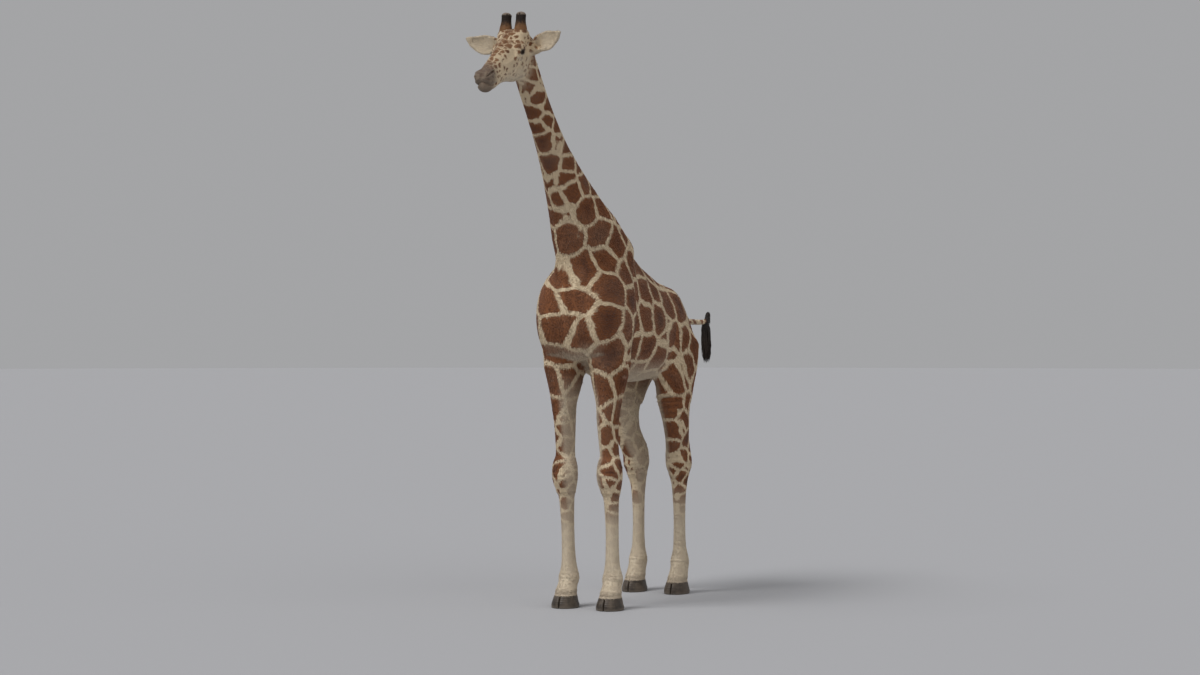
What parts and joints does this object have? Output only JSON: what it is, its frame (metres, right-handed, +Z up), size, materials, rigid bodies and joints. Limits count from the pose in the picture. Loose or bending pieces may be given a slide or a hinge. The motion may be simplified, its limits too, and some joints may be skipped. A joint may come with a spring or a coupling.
{
  "type": "giraffe",
  "caption": "Life-size adult bull giraffe, a still model standing square with the neck raised forward, ears out and the tail carried straight back with its tip curled up.",
  "frame": {"origin": "on the floor under the middle of the whole model's box", "axes": "+Z up; -Y is the way the animal faces; +X is the animal's left"},
  "size_m": [0.865, 4.4063, 4.9319],
  "materials": {
    "coat": "short flat fur, chestnut patches parted by cream lines",
    "lower_leg_coat": "short flat fur, pale cream with faint patches",
    "mane_hair": "short stiff upright hair, brown",
    "tail_hair": "long coarse hair, near black",
    "ossicone_coat": "short fur, brown, with dark hair on the crowns",
    "hoof_horn": "hard horn, dark brown, faintly ringed",
    "eye": "wet dark brown"
  },
  "bodies": {
    "root": {"barrel": "coat", "chest": "coat", "ear_left": "coat", "ear_right": "coat", "eye_left": "eye", "eye_right": "eye", "fore_left_cannon": "lower_leg_coat", "fore_left_forearm": "coat", "fore_left_hoof_inner": "hoof_horn", "fore_left_hoof_outer": "hoof_horn", "fore_left_knee": "coat", "fore_left_pastern": "lower_leg_coat", "fore_right_cannon": "lower_leg_coat", "fore_right_forearm": "coat", "fore_right_hoof_inner": "hoof_horn", "fore_right_hoof_outer": "hoof_horn", "fore_right_knee": "coat", "fore_right_pastern": "lower_leg_coat", "head": "coat", "hind_left_cannon": "lower_leg_coat", "hind_left_gaskin": "coat", "hind_left_hock": "coat", "hind_left_hoof_inner": "hoof_horn", "hind_left_hoof_outer": "hoof_horn", "hind_left_pastern": "lower_leg_coat", "hind_right_cannon": "lower_leg_coat", "hind_right_gaskin": "coat", "hind_right_hock": "coat", "hind_right_hoof_inner": "hoof_horn", "hind_right_hoof_outer": "hoof_horn", "hind_right_pastern": "lower_leg_coat", "hindquarters": "coat", "mane_base": "mane_hair", "mane_lower": "mane_hair", "mane_middle": "mane_hair", "mane_poll": "mane_hair", "mane_upper": "mane_hair", "neck_base": "coat", "neck_lower": "coat", "neck_middle": "coat", "neck_upper": "coat", "ossicone_left": "ossicone_coat", "ossicone_right": "ossicone_coat", "tail": "coat", "tail_tuft": "tail_hair"}
  },
  "joints": []
}
